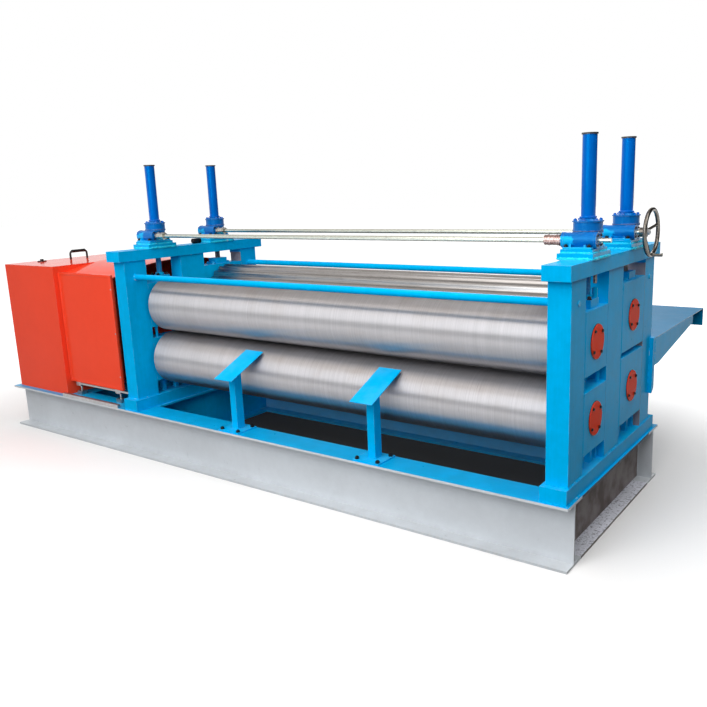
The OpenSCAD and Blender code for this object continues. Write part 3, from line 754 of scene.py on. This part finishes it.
def jack_foot_bolts(bm):
    for x, y in JACKS:
        for dx in (-0.068, 0.068):
            for dy in (-0.112, 0.088):
                p = (x + CASE_DX + dx, y + dy, PAD_TOP + FOOT_T)
                hex_bolt(bm, p, 0.012, UP, 0.019, 0.010)


def cap_screws(bm):
    for x, y in JACKS:
        for p in ring_of((x, y, cap_top - 0.0022), UP, 0.034, 3, 90):
            lathe(bm, [(0.0045, 0), (0.0042, 0.0013), (0.002, 0.0019), (0, 0.002)], frame_at(p, UP), 14)


def tube_collars(bm):
    """The rolled foot of each cover tube and the screwed ring that holds it."""
    r = tube_hi.x - STAND_X["op"]
    for x, y in JACKS:
        m = frame_at((x, y, house_hi.z - 0.001), UP)
        lathe(bm, [(r - 0.002, 0), (r + 0.0075, 0), (r + 0.0082, 0.003), (r + 0.0075, 0.010),
                   (r + 0.003, 0.0125), (r - 0.002, 0.013)], m, 48)


piece("jack_top_bolts", "machine_frame", "tube", jack_top_bolts)
piece("worm_end_bolts", "machine_frame", "bolt", worm_end_bolts)
piece("jack_gaskets", "machine_frame", "sealant", jack_gaskets)
piece("jack_feet", "machine_frame", "jack", jack_feet)
piece("jack_foot_bolts", "machine_frame", "bolt", jack_foot_bolts)
piece("tube_cap_screws", "machine_frame", "bolt", cap_screws)
piece("tube_collars", "machine_frame", "tube", tube_collars)


def loop_bead(bm, xs, ys, z, r, sides="xXyY"):
    """Weld beads round a rectangle at height z; sides picks low x, high X, low y, high Y."""
    (x0, x1), (y0, y1) = xs, ys
    corners = {"x": ((x0, y0), (x0, y1)), "X": ((x1, y0), (x1, y1)),
               "y": ((x0, y0), (x1, y0)), "Y": ((x0, y1), (x1, y1))}
    for side in sides:
        a, b = corners[side]
        bead(bm, (*a, z), (*b, z), r)


def pad_welds(bm):
    """Beads round the two plates of each jack pad."""
    for x, y in JACKS:
        cx = x + CASE_DX
        loop_bead(bm, (cx - 0.106, cx + 0.106), (y - 0.150, y + 0.140), TOP_Z + 0.004, 0.0095)
        loop_bead(bm, (cx - 0.095, cx + 0.095), (y - 0.128, y + 0.112), TOP_Z + 0.036, 0.0065)


piece("pad_welds", "machine_frame", "pad_weld", pad_welds)

# ---------- connecting shafts and handwheel ----------

rear_shaft_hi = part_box("rear_connecting_shaft")[1]
wheel_lo, wheel_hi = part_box("handwheel")


def sleeve_screws(y):
    """Set screws and the chamfered ends of the two sleeve couplings on one shaft."""
    collar = ((SLEEVE_R, -0.002), (0.0292, -0.002), (0.0296, 0), (0.0292, 0.002), (SLEEVE_R, 0.002))

    def build(bm):
        for end in STAND_X:
            side = -OUT[end]
            near = STAND_X[end] + CASE_DX + side * (CASE_HALF + SLEEVE_GAP)
            for dx in (0.022, 0.074):
                for a in map(math.radians, (100, 280)):
                    d = Vector((0, math.cos(a), math.sin(a)))
                    p = Vector((near + side * dx, y, WORM_Z)) + d * SLEEVE_R
                    socket_bolt(bm, p, 0.008, d, 0.004)
            for x in (near, near + side * SLEEVE_LEN):
                lathe(bm, collar, frame_at((x, y, WORM_Z), (1, 0, 0)), 40)
    return build


def handwheel_nut(bm):
    m = frame_at((rear_shaft_hi.x - 0.001, mid("rear_connecting_shaft", 1), WORM_Z), (1, 0, 0))
    lathe(bm, [(0.006, 0), (0.022, 0), (0.022, 0.0025), (0.006, 0.0025)], m, 28)
    lathe(bm, [(0.0175, 0.0025), (0.0185, 0.004), (0.0185, 0.014), (0.0165, 0.016), (0.006, 0.016)], m, 6)
    lathe(bm, [(0.009, 0.012), (0.009, 0.020), (0.0075, 0.0215), (0, 0.0215)], m, 20)


def grip_ends(bm):
    """Collar and end cap of the crank grip."""
    m = frame_at((wheel_hi.x - 0.0745, mid("handwheel", 1), wheel_lo.z + 0.0155), (1, 0, 0))
    lathe(bm, [(0.0072, 0.012), (0.0115, 0.013), (0.0125, 0.017), (0.0105, 0.0215), (0.0093, 0.022)], m, 28)
    lathe(bm, [(0.0094, 0.068), (0.0112, 0.0685), (0.0118, 0.0715), (0.010, 0.0742), (0, 0.0745)], m, 28)


for row in ("front", "rear"):
    piece(f"{row}_sleeve_screws", f"{row}_shaft_body", "shaft",
          sleeve_screws(mid(f"{row}_connecting_shaft", 1)))
piece("handwheel_nut", "rear_shaft_body", "zinc", handwheel_nut)
piece("crank_grip_ends", "rear_shaft_body", "wheel", grip_ends)

# ---------- roll stands ----------

POSTS_Y = ((0, 215), (590, 856), (1318, 1518))  # mm from the posts' front face
FOOT_HALF = foot_hi.x - STAND_X["op"]
POST_HALF = post_hi.x - STAND_X["op"]
pipe_lo, pipe_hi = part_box("tie_pipes")
PIPE_R = (pipe_hi.z - pipe_lo.z) / 2
PIPE_Z = (pipe_lo.z + pipe_hi.z) / 2
PIPES_Y = (pipe_lo.y + PIPE_R, pipe_hi.y - PIPE_R)


def stand_welds(bm):
    """Beads round the posts' feet and heads, and where the foot beams sit on the base."""
    foot_z = foot_lo.z + 0.001
    for cx in STAND_X.values():
        for lo, hi in POSTS_Y:
            for z, r in ((POST_Z + 0.001, 0.0065), (beam_lo.z - 0.001, 0.005)):
                for x in (cx - POST_HALF, cx + POST_HALF):
                    bead(bm, (x, post_lo.y + lo * MM, z), (x, post_lo.y + hi * MM, z), r)
        for y in (post_lo.y, post_hi.y):
            for z, r in ((POST_Z, 0.0065), (beam_lo.z, 0.005)):
                bead(bm, (cx - POST_HALF, y, z), (cx + POST_HALF, y, z), r)
        for y in (foot_lo.y, foot_hi.y):
            bead(bm, (cx - FOOT_HALF, y, foot_z), (cx + FOOT_HALF, y, foot_z), 0.007)
        for x in (cx - FOOT_HALF, cx + FOOT_HALF):
            for a, b in ((foot_lo.y, base_hi.y), (rear_lo.y, foot_hi.y)):
                bead(bm, (x, a, foot_z), (x, b, foot_z), 0.007)


def tie_pipe_welds(bm):
    r = PIPE_R
    for x, side in ((pipe_lo.x, 1), (pipe_hi.x, -1)):
        for y in PIPES_Y:
            lathe(bm, [(r - 0.001, -0.001), (r + 0.007, 0.0005), (r + 0.0055, 0.004), (r + 0.002, 0.0075),
                       (r - 0.001, 0.0085)], frame_at((x, y, PIPE_Z), (side, 0, 0)), 40)


def pipe_plugs(bm):
    """Round plugs in the outer faces of the stands, on the axes of the tie pipes."""
    for end in STAND_X:
        x = STAND_X[end] + OUT[end] * (POST_HALF - SINK)
        for y in PIPES_Y:
            lathe(bm, [(0.0165, 0), (0.0165, 0.003), (0.0145, 0.0058), (0.0085, 0.0072), (0.0045, 0.006),
                       (0, 0.0055)], frame_at((x, y, PIPE_Z), (OUT[end], 0, 0)), 32)


piece("stand_welds", "machine_frame", "weld", stand_welds)
piece("tie_pipe_welds", "machine_frame", "weld", tie_pipe_welds)
piece("stand_plugs", "machine_frame", "pad", pipe_plugs)


def yoke_bolts(y, span, z, gauge=False):
    """Bolts round each lifting screw; the gauge sleeve stands in the place of one of them."""
    def build(bm):
        for end in STAND_X:
            for dx in (-0.036, 0.036):
                for dy in (-span, span):
                    if not (gauge and end == "op" and dx > 0 and dy > 0):
                        hex_bolt(bm, (STAND_X[end] + dx, y + dy, z), 0.014, UP, 0.024, 0.014)
    return build


def screw_boss(y, z, height):
    """The raised ring each lifting screw comes out of."""
    def build(bm):
        for x in STAND_X.values():
            lathe(bm, [(0.0228, 0), (0.036, 0), (0.036, height - 0.006), (0.032, height),
                       (0.0228, height)], frame_at((x, y, z - 0.001), UP), 40)
    return build


yoke_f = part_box("upper_front_chocks")[1].z
yoke_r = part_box("upper_rear_chocks")[1].z
piece("front_yoke_bolts", "front_lift", "bolt", yoke_bolts(FRONT_Y, 0.048, yoke_f, True))
piece("rear_chock_bolts", "rear_lift", "pad", yoke_bolts(REAR_Y, 0.092, yoke_r - 0.052))
piece("front_screw_bosses", "front_lift", "pad", screw_boss(FRONT_Y, yoke_f, 0.024))


def gauge_sleeve(bm):
    """Sleeve of the opening gauge, standing on the operator side's front yoke."""
    p = at(-32, 441, 1520)
    lathe(bm, [(0.0125, 0), (0.0175, 0), (0.0175, 0.058), (0.0165, 0.061), (0.0125, 0.061),
               (0.0115, 0.004), (0, 0.004)], frame_at((p.x, p.y, yoke_f - SINK), UP), 32)


def gauge_rods(bm):
    """Fixed gauge rods: one over the sleeve under the operator beam, one outside the drive stand."""
    for p, r in ((at(-32, 441, 1606), 0.011), (at(-3990, 1400, 1500), 0.010)):
        lathe(bm, [(0, 0), (r - 0.0015, 0), (r, 0.002), (r, beam_lo.z - p.z)], frame_at(p, UP), 24)


def gauge_bracket(bm):
    block(bm, at(-4002, 1336, 1628), at(-3972, 1412, 1671), 0.002)


def beam_oiler(bm):
    """A small dark oiler lying on the drive stand's top beam between the jacks."""
    p = at(-3904, 795, 1757)
    m = frame_at((p.x, p.y, TOP_Z + 0.0235), (0, 1, 0))
    lathe(bm, [(0, 0), (0.017, 0.001), (0.022, 0.006), (0.0225, 0.058), (0.018, 0.066), (0.0185, 0.072),
               (0.024, 0.074), (0.024, 0.090), (0.020, 0.094), (0, 0.095)], m, 32)
    block(bm, (p.x - 0.016, p.y + 0.02, TOP_Z - SINK), (p.x + 0.016, p.y + 0.05, TOP_Z + 0.01), 0.002)


piece("gauge_sleeve", "front_lift", "pad", gauge_sleeve)
piece("gauge_rods", "machine_frame", "screw", gauge_rods)
piece("gauge_bracket", "machine_frame", "frame", gauge_bracket)
piece("beam_oiler", "machine_frame", "bolt", beam_oiler)

# ---------- feed supports and tray ----------

support_lo, support_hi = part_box("feed_supports")
mount_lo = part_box("tray_mounting_bars")[0]
SUPPORT_X = (support_hi.x - 0.122, support_lo.x + 0.106)


def support_bolts(bm):
    for x in SUPPORT_X:
        for dx in (-0.085, 0.085):
            for y in (-22, 131):
                p = at(0, y, 410)
                hex_bolt(bm, (x + dx, p.y, p.z), 0.016, UP, 0.026, 0.013)


def support_welds(bm):
    for x in SUPPORT_X:
        a, b = at(0, 32, 410), at(0, 106, 410)
        loop_bead(bm, (x - 0.030, x + 0.030), (a.y, b.y), a.z + 0.002, 0.005, "xXy")


def tray_welds(bm):
    """Upright beads at both ends of the tray, at its mounting bars and at its front edge."""
    top = tray_hi.z - 0.006
    for x in (tray_hi.x, tray_lo.x):
        inner, face = x - math.copysign(0.028, x), x - math.copysign(0.001, x)
        bead(bm, (inner, mount_lo.y, mount_lo.z + 0.03), (inner, mount_lo.y, top), 0.0045)
        bead(bm, (face, tray_lo.y, tray_lo.z - 0.03), (face, tray_lo.y, top), 0.004)


piece("support_bolts", "machine_frame", "bolt", support_bolts)
piece("support_welds", "machine_frame", "weld", support_welds)
piece("tray_welds", "machine_frame", "weld", tray_welds)

# ---------- drive guard and cabinet ----------

GUARD_HALF = (guard_hi.y - guard_lo.y) / 2
CROWN = 0.1  # rise of the guard's arched roof
GRIP_LEN = 0.205


def guard_flange(bm):
    """The folded edge round the guard's open end, a strip over the walls and the arched roof."""
    radius = (GUARD_HALF ** 2 + CROWN ** 2) / (2 * CROWN)
    cy, cz = (guard_lo.y + guard_hi.y) / 2, guard_hi.z - radius
    sweep = math.asin(GUARD_HALF / radius)
    path = [(guard_lo.y, guard_lo.z + 0.004)]
    path += [(cy + radius * math.sin(a), cz + radius * math.cos(a))
             for a in (-sweep + 2 * sweep * i / 40 for i in range(41))]
    path.append((guard_hi.y, guard_lo.z + 0.004))
    out, width = 0.0022, 0.032
    section = ((0, -0.004), (0, out - 0.0008), (-0.001, out), (-width + 0.001, out),
               (-width, out - 0.0008), (-width, -0.004))
    rings = []
    for y, z in path:
        if z > guard_hi.z - CROWN - 1e-6:
            n = Vector((0, y - cy, max(z - cz, 1e-3))).normalized()
        else:
            n = Vector((0, math.copysign(1, y - cy), 0))
        p = Vector((guard_hi.x, y, z))
        rings.append([bm.verts.new(p + n * d + Vector((dx, 0, 0))) for dx, d in section])
    skin(bm, rings)


def hem(u0, u1, v0, v1, w):
    """The four strips of a folded hem, as (from u, to u, from v, to v)."""
    return ((u0, u0 + w, v0, v1), (u1 - w, u1, v0, v1),
            (u0 + w, u1 - w, v0, v0 + w), (u0 + w, u1 - w, v1 - w, v1))


def door_rim(bm):
    """The folded hem round the guard's front panel."""
    y0, y1 = door_lo.y - 0.0022, door_lo.y + 0.002
    for a, b, c, d in hem(door_lo.x, door_hi.x, door_lo.z, door_hi.z, 0.024):
        block(bm, (a, y0, c), (b, y1, d), 0.001)


def cabinet_hems(bm):
    """Folded hems of the cabinet's screwed-on end panel and rear panel."""
    thick, inset, width = 0.0018, 0.03, 0.022
    low, high = cab_lo.z + inset, cab_hi.z - inset
    for a, b, c, d in hem(cab_lo.y + inset, cab_hi.y - inset, low, high, width):
        block(bm, (cab_lo.x - thick, a, c), (cab_lo.x + 0.001, b, d), 0.0006)
    for a, b, c, d in hem(cab_lo.x + inset, cab_hi.x - inset, low, high, width):
        block(bm, (a, cab_hi.y - 0.001, c), (b, cab_hi.y + thick, d), 0.0006)


def panel_screws(bm):
    """Screws down the guard panel's edge and down both edges of the cabinet's two panels."""
    for z in (0.12, 0.5, 0.88):
        p = (door_hi.x - 0.012, door_lo.y - 0.0022, door_lo.z + (door_hi.z - door_lo.z) * z)
        pan_screw(bm, p, (0, -1, 0))
    inset = 0.041
    low, tall = cab_lo.z + inset, cab_hi.z - cab_lo.z - 2 * inset
    for z in (low + tall * k for k in (0, 0.333, 0.667, 1)):
        for x in (cab_lo.x + inset, cab_hi.x - inset):
            pan_screw(bm, (x, cab_hi.y + 0.0015, z), (0, 1, 0))
        for y in (cab_lo.y + inset, cab_hi.y - inset):
            pan_screw(bm, (cab_lo.x - 0.0015, y, z), (-1, 0, 0))


def handle_grip(bm):
    """The moulded grip on the cabinet's loop handle."""
    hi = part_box("cabinet_top_fittings")[1]
    m = frame_at((hi.x - 0.010, hi.y - GRIP_LEN / 2, hi.z - 0.010), (0, 1, 0))
    lathe(bm, [(0.0102, -0.076), (0.0145, -0.074), (0.0155, -0.068), (0.0148, 0), (0.0155, 0.068),
               (0.0145, 0.074), (0.0102, 0.076)], m, 24)


piece("cabinet_handle_grip", "machine_frame", "black", handle_grip)
piece("guard_edge_flange", "machine_frame", "guard", guard_flange)
piece("guard_panel_hem", "machine_frame", "guard", door_rim)
piece("cabinet_panel_hems", "machine_frame", "guard", cabinet_hems)
piece("panel_screws", "machine_frame", "zinc", panel_screws)

# ---------- base ----------


def base_welds(bm):
    """Upright beads where the end beams meet the long beams."""
    end_lo, end_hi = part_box("base_end_beams")
    for x in (base_hi.x - END_WEB, END_WEB - base_hi.x):
        for y in (end_lo.y, end_hi.y):
            for dx in (-0.006, 0.006):
                bead(bm, (x + dx, y, 0.022), (x + dx, y, BASE_TOP - 0.022), 0.005)


piece("base_welds", "machine_frame", "rear_beam", base_welds)

# ---------- floor, light and camera ----------


def make_floor():
    """Pale and softly glowing for the camera and in reflections, dark for bounced light, with painted shade
    on the floor inside the base."""
    m = Mat("pale_floor", 0.5)
    over_x = m.math("SUBTRACT", m.math("ABSOLUTE", m.axis(m.pos, 0)), base_hi.x)
    mid_y, half_y = (base_lo.y + rear_hi.y) / 2, (rear_hi.y - base_lo.y) / 2
    over_y = m.math("SUBTRACT", m.math("ABSOLUTE", m.math("SUBTRACT", m.axis(m.pos, 1), mid_y)), half_y)
    # pit is the floor inside the base, painted dark there: painted shade under the machine
    pit = m.math("LESS_THAN", m.math("MAXIMUM", over_x, over_y), -0.1)
    away = m.math("ADD", m.math("POWER", m.math("MAXIMUM", over_x, 0.0), 2.0),
                  m.math("POWER", m.math("MAXIMUM", over_y, 0.0), 2.0))
    glow = m.math("MULTIPLY", m.step(m.math("SQRT", away), 0.05, 3.5), 0.6)
    pale = m.blend("ShaderNodeAddShader",
                   m.shader("ShaderNodeBsdfDiffuse", Color=m.mix(pit, grey(0.95), grey(0.1))),
                   m.shader("ShaderNodeEmission", Strength=glow))
    dark = m.shader("ShaderNodeBsdfDiffuse", Color=m.mix(pit, grey(0.08), grey(0.05)))
    surface = m.blend("ShaderNodeMixShader", m.shown(), dark, pale)
    m.link(surface, m.tree.nodes["Material Output"].inputs["Surface"])
    bm = bmesh.new()
    bmesh.ops.create_grid(bm, x_segments=1, y_segments=1, size=60)
    ob = object_from(bm, "floor", m.mat)


def make_world():
    """White for the camera. Reflections see a studio that is greyer overhead, bounced light a plain sky,
    and both are dim past the machine's operator end."""
    world = bpy.data.worlds.new("studio")
    bpy.context.scene.world = world
    world.use_nodes = True
    n = Nodes(world.node_tree)
    n.tree.nodes.clear()
    camera = n.node("ShaderNodeLightPath").outputs["Is Camera Ray"]
    way = n.node("ShaderNodeTexCoord").outputs["Generated"]
    height = n.axis(way, 2)
    dim = n.span(n.dot(way, (0.8, 0.6, 0.0)), 0.1, 0.6, 1.0, 0.03, "SMOOTHSTEP")
    studio = n.ramp(height, (0.25, WHITE), (0.8, (0.8, 0.72, 0.66, 1)))
    sky = n.ramp(height, (0.0, (0.2, 0.21, 0.22, 1)), (0.9, grey(0.9)))
    back = n.shader("ShaderNodeBackground", Color=n.mix(camera, studio, WHITE),
                    Strength=n.math("MAXIMUM", dim, camera))
    fill = n.shader("ShaderNodeBackground", Color=sky, Strength=n.span(dim, 0.03, 1.0, 0.1, 1.0))
    out = n.node("ShaderNodeOutputWorld")
    n.link(n.blend("ShaderNodeMixShader", n.shown(), fill, back), out.inputs["Surface"])


def area_lamp(name, place, aim, size, radiance, tint=(1, 1, 1)):
    """A soft box: radiance is how bright its face is, where 1 is white."""
    data = bpy.data.lights.new(name, "AREA")
    data.shape = "RECTANGLE"
    data.size, data.size_y = size
    data.energy = radiance * math.pi * size[0] * size[1]
    data.color = tint
    ob = bpy.data.objects.new(name, data)
    ob.location = place
    ob.rotation_euler = (Vector(aim) - Vector(place)).to_track_quat("-Z", "Y").to_euler()
    ob.visible_camera = False
    bpy.context.scene.collection.objects.link(ob)


def make_camera():
    """Where the photo was taken from, fitted to points measured on it."""
    data = bpy.data.cameras.new("camera")
    data.lens, data.sensor_width = 38.18, 36.0
    data.shift_x, data.shift_y = -0.0386, -0.0001
    data.clip_start, data.clip_end = 0.05, 200
    ob = bpy.data.objects.new("camera", data)
    az, el, roll = (math.radians(v) for v in (35.7654, -12.3920, -2.06405))
    fwd = Vector((-math.sin(az) * math.cos(el), math.cos(az) * math.cos(el), math.sin(el)))
    level = fwd.cross(Vector(UP)).normalized()
    upright = level.cross(fwd)
    right = math.cos(roll) * level + math.sin(roll) * upright
    up = -math.sin(roll) * level + math.cos(roll) * upright
    turn = Matrix((right, up, -fwd)).transposed().to_4x4()
    ob.matrix_world = Matrix.Translation((4.25656, -5.26200, 2.18613)) @ turn
    bpy.context.scene.collection.objects.link(ob)
    bpy.context.scene.camera = ob


make_floor()
make_world()
area_lamp("front_softbox", (1.4, -6.9, 3.9), (0.8, -0.6, 0.9), (5.2, 4.0), 4.2)
area_lamp("high_softbox", (1.0, -4.4, 5.8), (0.8, -0.9, 1.2), (6.0, 2.8), 2.0, (1.0, 0.93, 0.86))
area_lamp("end_softbox", (4.3, -0.9, 4.2), (2.9, -0.1, 1.5), (1.4, 2.8), 3.7)
area_lamp("rear_softbox", (-0.5, 8.0, 5.0), (0.0, 1.0, 1.0), (7.0, 3.0), 2.4)
make_camera()

bpy.context.scene.view_settings.view_transform = "Standard"
